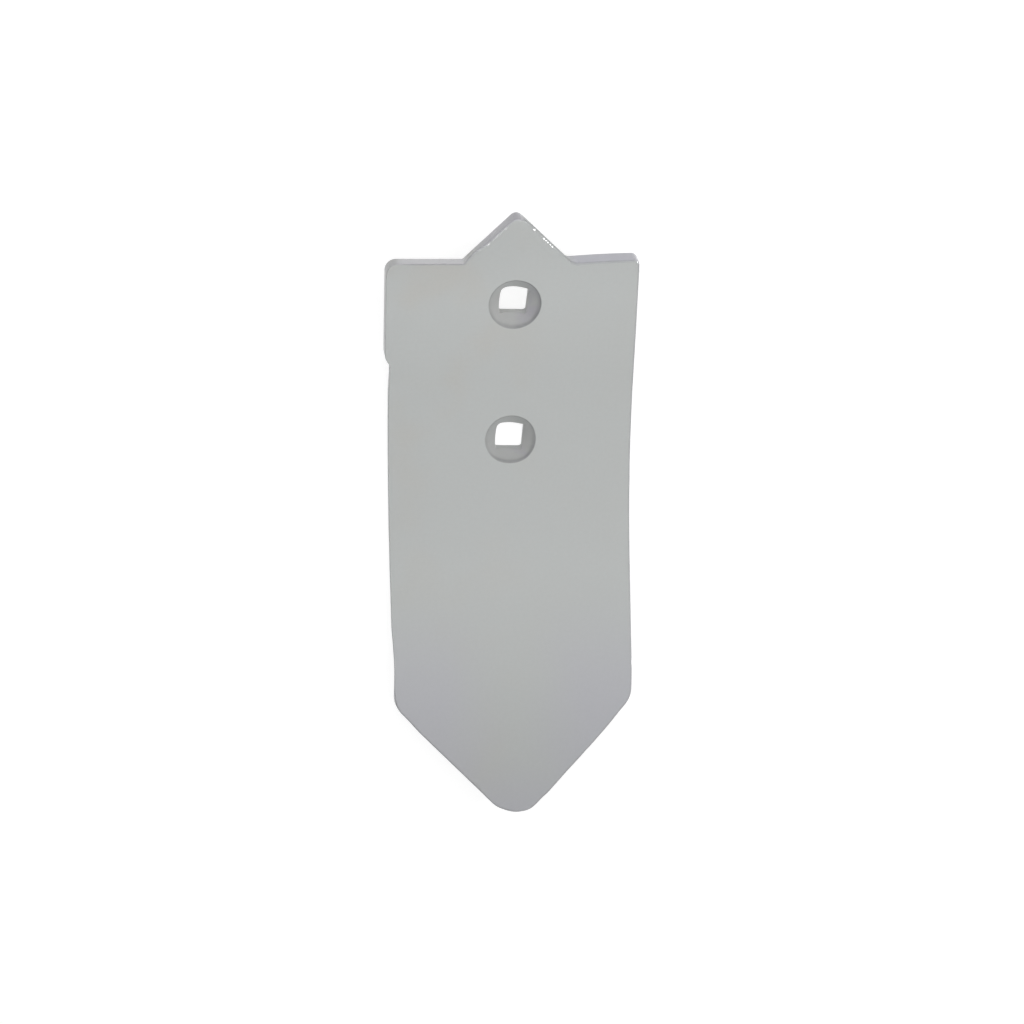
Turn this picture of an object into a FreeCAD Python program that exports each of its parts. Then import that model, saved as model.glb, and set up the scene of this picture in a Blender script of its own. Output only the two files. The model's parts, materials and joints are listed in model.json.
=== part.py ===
import FreeCAD, Part
import math
import os
import Sketcher

from FreeCAD import Placement, Rotation, Vector

# A cultivator share: one plate of rolled steel, blanked to an arrow shape, bent
# towards the soil and held to its tine by two countersunk bolts with square necks.
# Lengths are in millimetres and angles in degrees. Places along the share are
# measured on its front face, from the centre of the upper bolt hole.

sizes = {
    "plate_thickness": (8.0, "thickness of the plate"),
    "blade_width": (108.4, "width between the two long edges"),
    "bolt_spacing": (65.0, "upper to lower bolt hole, along the front face"),
    "bend_start": (36.0, "upper bolt hole down to where the bend begins"),
    "bend_radius": (220.0, "radius of the bend on the front face"),
    "bend_angle": (23.4, "turn of the tip against the bolted end"),
    "shoulder_height": (18.9, "upper bolt hole up to the foot of the peak"),
    "shoulder_slope": (1.7, "rise of each shoulder towards its outer end"),
    "peak_height": (41.4, "upper bolt hole up to the sharp peak"),
    "peak_width": (45.0, "width of the peak at its foot"),
    "tip_reach": (243.3, "upper bolt hole down to the sharp tip"),
    "tip_angle": (87.3, "angle between the two cutting edges"),
    "lug_step": (2.1, "how far the wider left end stands out"),
    "lug_foot": (27.9, "upper bolt hole down to the foot of the wider end"),
    "lug_slope": (50.0, "slope of the step at that foot"),
    "shoulder_radius_left": (5.0, "rounding of the left upper corner"),
    "shoulder_radius_right": (3.2, "rounding of the right upper corner"),
    "valley_radius_left": (1.2, "rounding in the left corner beside the peak"),
    "valley_radius_right": (3.0, "rounding in the right corner beside the peak"),
    "peak_radius": (3.0, "rounding of the peak"),
    "lug_radius": (6.0, "outer rounding of the step"),
    "lug_root_radius": (1.0, "inner rounding of the step"),
    "heel_radius_left": (19.0, "rounding where the left edge meets the point"),
    "heel_radius_right": (25.0, "rounding where the right edge meets the point"),
    "tip_radius": (15.5, "rounding of the tip"),
    "square_side": (12.2, "side of the square for the bolt's neck"),
    "square_turn": (4.6, "clockwise turn of both squares, seen from the front"),
    "square_radius": (1.0, "rounding in the corners of the square"),
    "seat_width": (23.1, "width of the countersunk seat for the bolt's head"),
    "seat_angle": (90.0, "full angle of that seat"),
    "seat_edge": (0.5, "rounding of the seat's rim"),
    "plate_edge": (1.0, "rounding of the plate's edges, front and back"),
    "cut_margin": (6.0, "how far the cuts run past the plate"),
}

doc = FreeCAD.newDocument("cultivator_share")


def size(alias):
    """The value of one driving size."""
    return sizes[alias][0]


def total(**shares):
    """A length made of shares of the driving sizes, as a number and as an expression."""
    number = sum(size(alias) * share for alias, share in shares.items())
    expression = " + ".join(f"{share} * sizes.{alias}" for alias, share in shares.items())
    return number, expression


def tip_flat():
    """The straight length below the bend, down to the sharp tip."""
    number = size("tip_reach") - size("bend_start") - size("bend_radius") * math.radians(size("bend_angle"))
    expression = (
        "(sizes.tip_reach - sizes.bend_start - sizes.bend_radius * sizes.bend_angle * pi / 180)"
    )
    return number, expression


def make_sheet():
    sheet = doc.addObject("Spreadsheet::Sheet", "sizes")
    for row, (alias, (value, meaning)) in enumerate(sizes.items(), start=1):
        sheet.set(f"A{row}", alias)
        sheet.set(f"B{row}", str(value))
        sheet.set(f"C{row}", meaning)
        sheet.setAlias(f"B{row}", alias)
    doc.recompute()


# Sketches and cuts

origin = (-1, 1)
sketch_axis = {"horizontal": -1, "vertical": -2}


def add_sketch(body, name, role):
    sketch = body.newObject("Sketcher::SketchObject", name)
    plane = next(item for item in body.Origin.OriginFeatures if item.Role == role)
    sketch.AttachmentSupport = [(plane, "")]
    sketch.MapMode = "FlatFace"
    return sketch


def add_loop(sketch, points):
    """A closed loop of straight lines, each joined to the next."""
    lines = []
    for first, second in zip(points, points[1:] + points[:1]):
        lines.append(sketch.addGeometry(Part.LineSegment(Vector(*first), Vector(*second))))
    for before, after in zip(lines, lines[1:] + lines[:1]):
        join(sketch, "Coincident", before, 2, after, 1)
    return lines


def join(sketch, kind, *places):
    return sketch.addConstraint(Sketcher.Constraint(kind, *places))


def dimension(sketch, kind, places, length):
    """A dimension that follows the sheet; its length is a number and an expression."""
    number, expression = length
    index = join(sketch, kind, *places, number)
    sketch.setExpression(f"Constraints[{index}]", expression)


def dimension_angle(sketch, places, alias, supplement=False):
    """An angle of the sheet, or what it lacks to a straight line."""
    degrees, expression = total(**{alias: 1})
    if supplement:
        degrees = 180 - degrees
        expression = "180 - " + expression
    dimension(sketch, "Angle", places, (math.radians(degrees), expression))


def on_lower_hole(sketch, axes, turn_axis):
    """Moves a sketch to the lower bolt hole, square to the front face there."""
    start = "min(sizes.bend_start; sizes.bolt_spacing)"
    turn = "(max(0; sizes.bolt_spacing - sizes.bend_start) / sizes.bend_radius * 180 / pi)"
    number = math.degrees(max(0, size("bolt_spacing") - size("bend_start")) / size("bend_radius"))
    turn_with_face(sketch, axes, turn_axis, start, turn, number)


def turn_with_face(sketch, axes, turn_axis, start, turn, number):
    """Moves a sketch down the front face by start and then round the bend by turn."""
    along, outward = axes
    sketch.AttachmentOffset = Placement(Vector(), Rotation(Vector(*turn_axis), number))
    sketch.setExpression("AttachmentOffset.Rotation.Angle", turn)
    sketch.setExpression(f"AttachmentOffset.Base.{along}", f"-{start} - sizes.bend_radius * sin({turn})")
    sketch.setExpression(f"AttachmentOffset.Base.{outward}", f"sizes.bend_radius * (1 - cos({turn}))")


def check_cut(body, feature, before):
    doc.recompute()
    if not body.Shape.Volume < before:
        raise RuntimeError(f"{feature.Name} removes nothing")


def cut_through(body, sketch, name):
    """Cuts the sketch's area out of the plate, to both sides of its plane."""
    before = body.Shape.Volume
    pocket = body.newObject("PartDesign::Pocket", name)
    pocket.Profile = sketch
    pocket.SideType = "Two sides"
    pocket.Type = "ThroughAll"
    pocket.Type2 = "ThroughAll"
    check_cut(body, pocket, before)


# The bent plate

def draw_side(body):
    """The plate from its side: flat bolted end, bend, flat tip."""
    sketch = add_sketch(body, "side_section", "YZ_Plane")
    turn = math.radians(size("bend_angle"))
    thickness = size("plate_thickness")
    radius = size("bend_radius")
    centre = Vector(-size("bend_start"), radius)
    top = total(peak_height=1, cut_margin=1)
    tip_number, tip_expression = tip_flat()
    tip_length = tip_number + size("cut_margin")
    towards_tip = Vector(-math.cos(turn), math.sin(turn))
    outward = Vector(-math.sin(turn), -math.cos(turn))
    front_bend = centre + outward * radius
    back_bend = centre + outward * (radius + thickness)
    front_end = front_bend + towards_tip * tip_length
    back_end = back_bend + towards_tip * tip_length
    bottom = 1.5 * math.pi

    def add_line(start, end):
        return sketch.addGeometry(Part.LineSegment(start, end))

    def add_arc(arc_radius):
        circle = Part.Circle(centre, Vector(0, 0, 1), arc_radius)
        return sketch.addGeometry(Part.ArcOfCircle(circle, bottom - turn, bottom))

    front_top = add_line(Vector(top[0], 0), Vector(centre.x, 0))
    front_arc = add_arc(radius)
    front_tip = add_line(front_bend, front_end)
    tip_end = add_line(front_end, back_end)
    back_tip = add_line(back_end, back_bend)
    back_arc = add_arc(radius + thickness)
    back_top = add_line(Vector(centre.x, -thickness), Vector(top[0], -thickness))
    top_end = add_line(Vector(top[0], -thickness), Vector(top[0], 0))

    # both arcs run anticlockwise, from the tip's side to the bolted side
    join(sketch, "Tangent", front_top, 2, front_arc, 2)
    join(sketch, "Tangent", front_arc, 1, front_tip, 1)
    join(sketch, "Tangent", back_tip, 2, back_arc, 1)
    join(sketch, "Tangent", back_arc, 2, back_top, 1)
    join(sketch, "Coincident", front_tip, 2, tip_end, 1)
    join(sketch, "Coincident", tip_end, 2, back_tip, 1)
    join(sketch, "Coincident", back_top, 2, top_end, 1)
    join(sketch, "Coincident", top_end, 2, front_top, 1)
    join(sketch, "Coincident", front_arc, 3, back_arc, 3)
    join(sketch, "PointOnObject", front_top, 1, sketch_axis["horizontal"])
    join(sketch, "PointOnObject", front_top, 2, sketch_axis["horizontal"])
    join(sketch, "Horizontal", back_top)
    join(sketch, "Vertical", top_end)
    join(sketch, "Parallel", front_tip, back_tip)
    join(sketch, "Perpendicular", front_tip, tip_end)
    dimension(sketch, "DistanceX", (*origin, front_top, 1), top)
    dimension(sketch, "DistanceX", (front_top, 2, *origin), total(bend_start=1))
    dimension(sketch, "DistanceY", (top_end, 1, top_end, 2), total(plate_thickness=1))
    dimension(sketch, "Radius", (front_arc,), total(bend_radius=1))
    dimension(sketch, "Distance", (front_tip,), (tip_length, tip_expression + " + sizes.cut_margin"))
    dimension_angle(sketch, (front_top, 2, front_tip, 1), "bend_angle", supplement=True)
    return sketch


def add_plate(body):
    plate = body.newObject("PartDesign::Pad", "bent_plate")
    plate.Profile = draw_side(body)
    plate.SideType = "Two sides"
    plate.setExpression("Length", "sizes.blade_width / 2")
    plate.setExpression("Length2", "sizes.blade_width / 2 + sizes.lug_step")
    doc.recompute()


# The blank's outline

def cut_top(body):
    """Leaves the peak between the two shoulders."""
    sketch = add_sketch(body, "top_cut", "XY_Plane")
    left = total(blade_width=0.5, lug_step=1, cut_margin=1)
    right = total(blade_width=0.5, cut_margin=1)
    above = total(peak_height=1, cut_margin=2)
    shoulder = size("shoulder_height")
    half_peak = size("peak_width") / 2
    lines = add_loop(sketch, [
        (-left[0], shoulder),
        (-half_peak, shoulder),
        (0, size("peak_height")),
        (half_peak, shoulder),
        (right[0], shoulder),
        (right[0], above[0]),
        (-left[0], above[0]),
    ])
    left_shoulder, left_flank, right_flank, right_shoulder, right_end, top, left_end = lines
    join(sketch, "PointOnObject", left_flank, 2, sketch_axis["vertical"])
    join(sketch, "Symmetric", left_flank, 1, right_flank, 2, sketch_axis["vertical"])
    join(sketch, "Vertical", right_end)
    join(sketch, "Horizontal", top)
    join(sketch, "Vertical", left_end)
    dimension(sketch, "DistanceX", (left_flank, 1, right_flank, 2), total(peak_width=1))
    dimension(sketch, "DistanceY", (*origin, left_flank, 1), total(shoulder_height=1))
    dimension(sketch, "DistanceY", (*origin, left_flank, 2), total(peak_height=1))
    dimension(sketch, "DistanceY", (*origin, top, 1), above)
    dimension(sketch, "DistanceX", (left_end, 1, *origin), left)
    dimension(sketch, "DistanceX", (*origin, right_end, 1), right)
    dimension_angle(sketch, (sketch_axis["horizontal"], 1, right_shoulder, 1), "shoulder_slope")
    left_angle = (sketch_axis["horizontal"], 1, left_shoulder, 2)
    dimension_angle(sketch, left_angle, "shoulder_slope", supplement=True)
    cut_through(body, sketch, "top_trimmed")

    rise = math.tan(math.radians(size("shoulder_slope")))
    half = size("blade_width") / 2
    wide_half = half + size("lug_step")
    return {
        "peak_radius": place(sketch, 0, size("peak_height")),
        "valley_radius_left": place(sketch, -half_peak, shoulder),
        "valley_radius_right": place(sketch, half_peak, shoulder),
        "shoulder_radius_left": place(sketch, -wide_half, shoulder + rise * (wide_half - half_peak)),
        "shoulder_radius_right": place(sketch, half, shoulder + rise * (half - half_peak)),
    }


def cut_left_edge(body):
    """Narrows the left side below the wider bolted end."""
    sketch = add_sketch(body, "left_edge_cut", "XY_Plane")
    inside = total(blade_width=0.5)
    outside = total(blade_width=0.5, lug_step=1, cut_margin=1)
    below = total(tip_reach=1, cut_margin=2)
    foot = size("lug_foot")
    climb = math.tan(math.radians(size("lug_slope")))
    outer_foot = foot - climb * (outside[0] - inside[0])
    inner, step, outer, bottom = add_loop(sketch, [
        (-inside[0], -below[0]),
        (-inside[0], -foot),
        (-outside[0], -outer_foot),
        (-outside[0], -below[0]),
    ])
    join(sketch, "Vertical", inner)
    join(sketch, "Vertical", outer)
    join(sketch, "Horizontal", bottom)
    dimension(sketch, "DistanceX", (inner, 2, *origin), inside)
    dimension(sketch, "DistanceX", (outer, 1, *origin), outside)
    dimension(sketch, "DistanceY", (inner, 2, *origin), total(lug_foot=1))
    dimension(sketch, "DistanceY", (inner, 1, *origin), below)
    dimension_angle(sketch, (sketch_axis["horizontal"], 1, step, 1), "lug_slope", supplement=True)
    cut_through(body, sketch, "left_edge_trimmed")
    return {
        "lug_root_radius": place(sketch, -inside[0], -foot),
        "lug_radius": place(sketch, -inside[0] - size("lug_step"), climb * size("lug_step") - foot),
    }


def cut_point(body):
    """Cuts both edges of the point, square to the turned tip."""
    sketch = add_sketch(body, "point_cut", "XY_Plane")
    start = "sizes.bend_start"
    turn_with_face(sketch, "yz", (-1, 0, 0), start, "sizes.bend_angle", size("bend_angle"))
    outside = total(blade_width=0.5, lug_step=1, cut_margin=1)
    reach, reach_expression = tip_flat()
    below = reach + 2 * size("cut_margin"), reach_expression + " + 2 * sizes.cut_margin"
    slope = 1 / math.tan(math.radians(size("tip_angle") / 2))
    flank_top = outside[0] * slope - reach
    left_flank, right_flank, right_end, bottom, left_end = add_loop(sketch, [
        (-outside[0], flank_top),
        (0, -reach),
        (outside[0], flank_top),
        (outside[0], -below[0]),
        (-outside[0], -below[0]),
    ])
    join(sketch, "PointOnObject", left_flank, 2, sketch_axis["vertical"])
    join(sketch, "Symmetric", left_flank, 1, right_flank, 2, sketch_axis["vertical"])
    join(sketch, "Vertical", right_end)
    join(sketch, "Horizontal", bottom)
    join(sketch, "Vertical", left_end)
    dimension(sketch, "DistanceX", (*origin, right_end, 1), outside)
    dimension(sketch, "DistanceY", (left_flank, 2, *origin), (reach, reach_expression))
    dimension(sketch, "DistanceY", (bottom, 1, *origin), below)
    dimension_angle(sketch, (right_flank, 1, left_flank, 2), "tip_angle")
    cut_through(body, sketch, "point_trimmed")

    half = size("blade_width") / 2
    return {
        "heel_radius_left": place(sketch, -half, half * slope - reach),
        "heel_radius_right": place(sketch, half, half * slope - reach),
        "tip_radius": place(sketch, 0, -reach),
    }


def place(sketch, across, along):
    """A point of the sketch, taken to the middle of the plate's thickness."""
    return sketch.Placement.multVec(Vector(across, along, -size("plate_thickness") / 2))


# Bolt holes

def cut_square(body, name, lower):
    """A square through the plate for the neck of a bolt."""
    sketch = add_sketch(body, name + "_square", "XY_Plane")
    if lower:
        on_lower_hole(sketch, "yz", (-1, 0, 0))
    half = size("square_side") / 2
    turn = Rotation(Vector(0, 0, -1), size("square_turn"))
    upright = [(half, half), (-half, half), (-half, -half), (half, -half)]
    corners = [turn.multVec(Vector(across, along, 0)) for across, along in upright]
    top, left, bottom, right = add_loop(sketch, [(corner.x, corner.y) for corner in corners])
    join(sketch, "Parallel", top, bottom)
    join(sketch, "Parallel", left, right)
    join(sketch, "Perpendicular", top, left)
    join(sketch, "Equal", top, left)
    join(sketch, "Symmetric", top, 1, bottom, 1, *origin)
    dimension(sketch, "Distance", (top,), total(square_side=1))
    dimension_angle(sketch, (sketch_axis["horizontal"], 1, top, 1), "square_turn", supplement=True)
    cut_through(body, sketch, name + "_square_cut")
    places = [place(sketch, corner.x, corner.y) for corner in corners]
    round_edges(body, name + "_square_rounded", "square_radius", places)


def cut_seat(body, name, lower):
    """A cone in the front face for the countersunk head of a bolt."""
    sketch = add_sketch(body, name + "_seat", "YZ_Plane")
    if lower:
        on_lower_hole(sketch, "xy", (0, 0, -1))
    spread = math.tan(math.radians(size("seat_angle") / 2))
    radius = size("seat_width") / 2
    above = size("cut_margin")
    side, top, axis = add_loop(
        sketch, [(0, -radius / spread), (radius + above * spread, above), (0, above)])
    rim = sketch.addGeometry(Part.Point(Vector(radius, 0)), True)
    join(sketch, "PointOnObject", axis, 1, sketch_axis["vertical"])
    join(sketch, "PointOnObject", axis, 2, sketch_axis["vertical"])
    join(sketch, "Horizontal", top)
    join(sketch, "PointOnObject", rim, 1, side)
    join(sketch, "PointOnObject", rim, 1, sketch_axis["horizontal"])
    dimension(sketch, "DistanceX", (*origin, rim, 1), total(seat_width=0.5))
    dimension(sketch, "DistanceY", (*origin, top, 1), total(cut_margin=1))
    half_angle, half_expression = total(seat_angle=0.5)
    dimension(sketch, "Angle", (side, 1, axis, 2), (math.radians(half_angle), half_expression))
    before = body.Shape.Volume
    groove = body.newObject("PartDesign::Groove", name + "_seat_cut")
    groove.Profile = sketch
    groove.ReferenceAxis = (sketch, ["V_Axis"])
    check_cut(body, groove, before)
    return sketch.Placement.multVec(Vector(0, 0, radius))


# Rounded edges

def round_edges(body, name, alias, places):
    """Rounds the edge that lies nearest to each place."""
    edges = body.Shape.Edges
    names = []
    for point in places:
        vertex = Part.Vertex(point)
        nearest = min(range(len(edges)), key=lambda index: edges[index].distToShape(vertex)[0])
        names.append(f"Edge{nearest + 1}")
    add_fillet(body, name, alias, names)


def add_fillet(body, name, alias, names):
    base = body.Tip
    fillet = body.newObject("PartDesign::Fillet", name)
    fillet.Base = (base, names)
    fillet.setExpression("Radius", f"sizes.{alias}")
    doc.recompute()


def round_plate_edges(body):
    """Rounds the outer edges of the three front faces and the three back faces."""
    faces = sorted(body.Shape.Faces, key=lambda face: face.Area, reverse=True)[:6]
    rims = [edge for face in faces for edge in face.OuterWire.Edges]
    names = []
    for index, edge in enumerate(body.Shape.Edges, start=1):
        # an edge of two broad faces is a bend line, which stays
        if sum(edge.isSame(other) for other in rims) == 1:
            names.append(f"Edge{index}")
    add_fillet(body, "plate_edges_rounded", "plate_edge", names)


# Resting place

def lay_on_back(body):
    """Lays the share on its bent back, with its weight above the line that it rests on."""
    solid = body.Shape.Solids[0]
    bend_centre = Vector(0, -size("bend_start"), size("bend_radius"))
    weight = solid.CenterOfMass - bend_centre
    turn = Rotation(Vector(1, 0, 0), math.degrees(math.atan2(weight.y, weight.z)) % 180)
    body.Placement = Placement(Vector(), turn)
    box = body.Shape.optimalBoundingBox(False)
    lowest = turn.multVec(bend_centre).z - size("bend_radius") - size("plate_thickness")
    body.Placement = Placement(Vector(-box.Center.x, -box.Center.y, -lowest), turn)


def make_share():
    body = doc.addObject("PartDesign::Body", "share")
    body.Label = "share"
    add_plate(body)
    corners = cut_top(body)
    corners.update(cut_left_edge(body))
    corners.update(cut_point(body))
    for alias, corner in corners.items():
        round_edges(body, alias.replace("radius", "rounded"), alias, [corner])
    cut_square(body, "upper", False)
    cut_square(body, "lower", True)
    rims = [cut_seat(body, "upper", False), cut_seat(body, "lower", True)]
    round_edges(body, "seat_rims_rounded", "seat_edge", rims)
    round_plate_edges(body)
    lay_on_back(body)
    return body


def check_all():
    """Stops where any object failed, or where the share isn't one whole solid."""
    failed = [item.Name for item in doc.Objects if {"Invalid", "Error"} & set(item.State)]
    if failed:
        raise RuntimeError(f"failed: {failed}")
    if share.Shape.isNull() or not share.Shape.isValid() or len(share.Shape.Solids) != 1:
        raise RuntimeError("the share is not one valid solid")


make_sheet()
share = make_share()
doc.recompute()
check_all()
os.makedirs("parts", exist_ok=True)
share.Shape.exportStep(f"parts/{share.Label}.step")
box = share.Shape.optimalBoundingBox(False)
print(f"{share.Label}: {share.Shape.Volume / 1000:.2f} cm3, "
      f"{box.XLength:.1f} x {box.YLength:.1f} x {box.ZLength:.1f} mm")
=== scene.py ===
import json
import math

import bmesh
import bpy
from mathutils import Matrix, Vector, noise
from mathutils.geometry import delaunay_2d_cdt


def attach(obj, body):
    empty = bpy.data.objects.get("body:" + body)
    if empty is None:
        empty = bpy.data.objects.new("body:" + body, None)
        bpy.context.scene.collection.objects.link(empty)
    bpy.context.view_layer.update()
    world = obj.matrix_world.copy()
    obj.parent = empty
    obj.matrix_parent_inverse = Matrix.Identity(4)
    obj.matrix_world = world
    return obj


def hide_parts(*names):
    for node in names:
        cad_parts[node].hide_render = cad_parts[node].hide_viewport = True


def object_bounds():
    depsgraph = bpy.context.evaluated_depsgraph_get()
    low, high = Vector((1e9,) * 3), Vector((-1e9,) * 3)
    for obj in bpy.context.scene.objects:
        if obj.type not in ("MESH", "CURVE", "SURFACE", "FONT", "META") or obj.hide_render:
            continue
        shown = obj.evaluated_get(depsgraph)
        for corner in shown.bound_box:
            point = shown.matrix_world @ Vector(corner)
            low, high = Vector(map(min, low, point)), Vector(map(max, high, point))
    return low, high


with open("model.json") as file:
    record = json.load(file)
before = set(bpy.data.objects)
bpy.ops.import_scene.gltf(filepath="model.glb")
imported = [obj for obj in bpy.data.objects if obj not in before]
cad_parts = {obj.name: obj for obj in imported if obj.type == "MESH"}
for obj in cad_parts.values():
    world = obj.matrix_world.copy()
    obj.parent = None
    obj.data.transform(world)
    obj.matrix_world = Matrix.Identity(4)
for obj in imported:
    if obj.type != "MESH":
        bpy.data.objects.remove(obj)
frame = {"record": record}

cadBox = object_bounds()
scene = bpy.context.scene
millimetre = 0.001

# Sizes are in millimetres and angles in degrees. The share is drawn flat first, as its
# blank: x across, y along the front face from the upper bolt hole towards the peak, and
# z out of the front face. It is then bent and laid where the upper bolt seat says.

blank = {
    "thickness": 8.0,
    "halfWidth": 54.2,
    "shoulderHeight": 18.9,
    "shoulderSlope": 1.7,
    "peakHeight": 41.4,
    "peakHalfWidth": 22.5,
    "tipReach": 243.3,
    "tipAngle": 87.3,
    "lugStep": 2.1,  # how far the wider left end stands out
    "lugFoot": 27.9,
    "lugSlope": 50.0,
    "cornerRadius": {
        "peak": 3.0,
        "leftValley": 1.2,
        "leftShoulder": 5.0,
        "lug": 6.0,
        "lugRoot": 1.0,
        "leftHeel": 12.0,
        "tip": 15.5,
        "rightHeel": 12.0,
        "rightShoulder": 3.2,
        "rightValley": 3.0,
    },
    "edgeStep": 0.7,  # spacing of the points along the outline
    "fineShare": 0.36,  # how much closer they are on the fine stretches
    "arcStep": 0.35,  # spacing round the corners
    "arcSteps": 8,  # the fewest steps round a corner
    "gridStep": 2.2,  # spacing of the points inside the two faces
    "gridRow": 0.866,  # distance of their rows, as a share of that
    "gridMargin": 0.9,  # how far they stay from the edge
    "pitClearing": 0.8,  # and from the closer points round a pit
    "mergeGap": 1e-5,
}

bend = {"start": 36.0, "radius": 220.0, "angle": 23.4}

holes = {
    "places": (0.0, -65.0),
    "squareHalf": 6.1,
    "squareTurn": 4.6,  # clockwise, seen from the front
    "squareRadii": (0.9, 2.2, 1.4, 1.4),  # anticlockwise from the upper right corner
    "seatRadius": 11.55,
    "tighterTop": (0.2, 0.8),  # how much less the seat reaches towards the peak
    "widerBottom": (0.3, 0.0),  # how much more it reaches towards the tip
    "flatter": (0.0, 0.35),  # how much less it reaches just at the right and at the bottom
    "flatterPower": 8,  # how narrow those two places are
    "wallLean": 0.5,  # how far the lower wall of the square leans in towards the back
    "leanShares": (0.6, 0.4),  # how much of that in the middle, and how much more at the right
    "rimRounding": 0.5,
    "rimMargin": 0.35,
    "bottomRounding": 0.35,
    "bottomBulge": 0.04,
    "backRounding": 0.3,
    "backMargin": 0.5,
    "sidePoints": 16,
    "cornerPoints": 6,
    "rimRows": 4,
    "coneRows": 7,
    "wallRows": 6,
    "backRows": 3,
    "frontClearing": 13.6,  # the grid of the front face stays this far from the middle of a hole
    "backClearing": 10.4,
}

# Painted shade round the bolt seats, from 0, plain, to 1: a dark line at the rim, darker paint
# in the seat, and dark lines at its bottom edge and at the back. Where a tone changes round the
# seat, it has the direction that it changes towards.
paintedSeatShade = {
    "line": (1.0, 0.7),  # the painted shade line at the rim of the upper and the lower seat
    "lineLoss": 0.45,  # what it loses at the left
    "shade": 0.34,  # just inside the rim
    "shadeTowards": (0.35, -0.94),
    "shadeGain": 0.55,
    "shadeLoss": 0.35,
    "secondRow": 0.35,  # how much of the shade goes on in the next row
    "lowerHalf": 0.22,
    "topShadeLoss": 0.9,  # less painted shade in the upper part of the seat, so it is lighter there
    "bottomEdge": 0.25,  # painted shade line where the seat meets the square
    "bottomTowards": (-0.5, 0.86),
    "bottomGain": 0.5,
    # how much of the seat's painted shade goes on the wall of the square, and the painted shade
    # line at its back edge
    "wallTint": 0.25,
    "backEdge": 0.4,
}

# The front edge on each stretch of the outline, named by the corner it leaves: its radius, how
# far it stands out past the back edge, how much it takes of the sheared tint with its painted light
# and shade, how much painted shade darkens its rounding.
frontEdge = {
    "peak": (1.3, 0.45, 0.9, 0.0),
    "leftValley": (0.6, 0.8, 1.0, 1.0),
    "leftShoulder": (0.45, 0.0, 0.35, 0.0),
    "lug": (0.45, 0.0, 0.35, 0.0),
    "lugRoot": (0.45, 0.5, 0.35, 0.0),
    "leftHeel": (0.8, 0.0, 0.5, 0.7),
    "tip": (0.8, 0.0, 0.5, 0.7),
    "rightHeel": (0.9, 0.0, 0.8, 0.6),
    "rightShoulder": (0.95, -0.45, 1.0, 0.85),
    "rightValley": (1.7, 1.55, 0.1, 0.25),
}
fineStretches = ("peak", "rightValley")  # sampled closely, for the small flats
backRounding = 0.8

# The rows of points round the edge. Degrees count from the front face to the side.
edgeRows = {
    "frontMargins": (0.5, 0.2),  # first rows, this far in from the rounding
    "frontDegrees": (0, 7, 13, 19, 25, 31, 37, 45, 55, 66, 78, 90),
    "tintFrom": 22,
    "tintSpan": 40,
    "edgeShadeLead": 8,
    "edgeShadeRise": 20,
    "edgeShadeFall": 35,
    "sideRows": 6,
    "backRows": 6,
    "backMargin": 0.35,
    # how many neighbours on each side even out the radius, the rest of the edge, its shift
    "smoothing": {"radius": 6, "rest": 3, "shift": 1},
}

# Each spot on the outline: place, half length, amount.
roundedSpots = (  # extra radius of the front edge
    ((0.0, 40.0), 6.0, -0.3),
)
overhangSpots = (
    ((-18.0, 24.0), 9.0, 1.0),
    ((-53.5, 20.0), 5.0, 0.6),
    ((53.2, 19.0), 4.0, 0.5),
    ((0.0, 41.0), 8.0, -0.7),
)
# Small flats hammered into the front edge: place, depth of the cut, half width. Tilt and turn
# say where a group of them faces.
hammered = {
    "leftFlank": {"tilt": 26.0, "turn": 143.9, "flats": (
        ((-12.4, 29.0), 0.07, 0.6),
        ((-10.2, 31.2), 0.04, 0.4),
        ((-9.0, 32.4), 0.04, 0.4),
        ((-5.6, 35.8), 0.04, 0.4),
    )},
    "rightFlank": {"tilt": 25.3, "turn": 35.1, "flats": (
        ((3.6, 37.8), 0.02, 0.4),
        ((6.9, 34.5), 0.06, 0.5),
        ((11.3, 30.1), 0.05, 0.5),
        ((12.2, 29.2), 0.04, 0.45),
        ((13.1, 28.3), 0.04, 0.45),
        ((14.0, 27.4), 0.04, 0.45),
        ((15.0, 26.4), 0.05, 0.5),
    )},
    "rightCorner": {"tilt": 24.2, "turn": 39.5, "flats": (((53.05, 18.5), 0.046, 0.42),)},
}
# The cut reaches these rings and neighbours, is level with one ring, and fades past its width.
hammerReach = {"rings": 14, "levelRing": 6, "neighbours": 8, "fade": 0.4}

# Shallow unevenness left by shearing and forging: place on the outline, half length, outward shift.
edgeForms = {
    "leftWaist": ((-54.2, -168.0), 21.5, -0.79),
    "stepRoot": ((-54.2, -32.0), 11.0, -0.42),
    "leftHeelHollow": ((-56.0, -195.4), 14.0, -1.18),
    "rightHeelHollow": ((56.0, -191.1), 19.4, -0.59),
    "rightShoulderCrown": ((38.0, 19.4), 18.0, 0.25),
    "rightFlank": ((36.0, -205.1), 24.0, 0.2),
    "tipLeft": ((-11.0, -230.5), 8.0, 0.1),
    "tipRight": ((10.5, -231.3), 6.0, -0.45),
    "noseLeft": ((-5.5, -234.8), 7.0, -0.25),
    "noseRight": ((5.0, -235.4), 4.0, 0.15),
    "rightTop": ((54.2, 10.0), 30.0, -0.12),
    "rightNick": ((54.1, -170.1), 1.6, -0.18),
    "flankNick": ((31.6, -209.0), 1.8, -0.15),
}

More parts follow.
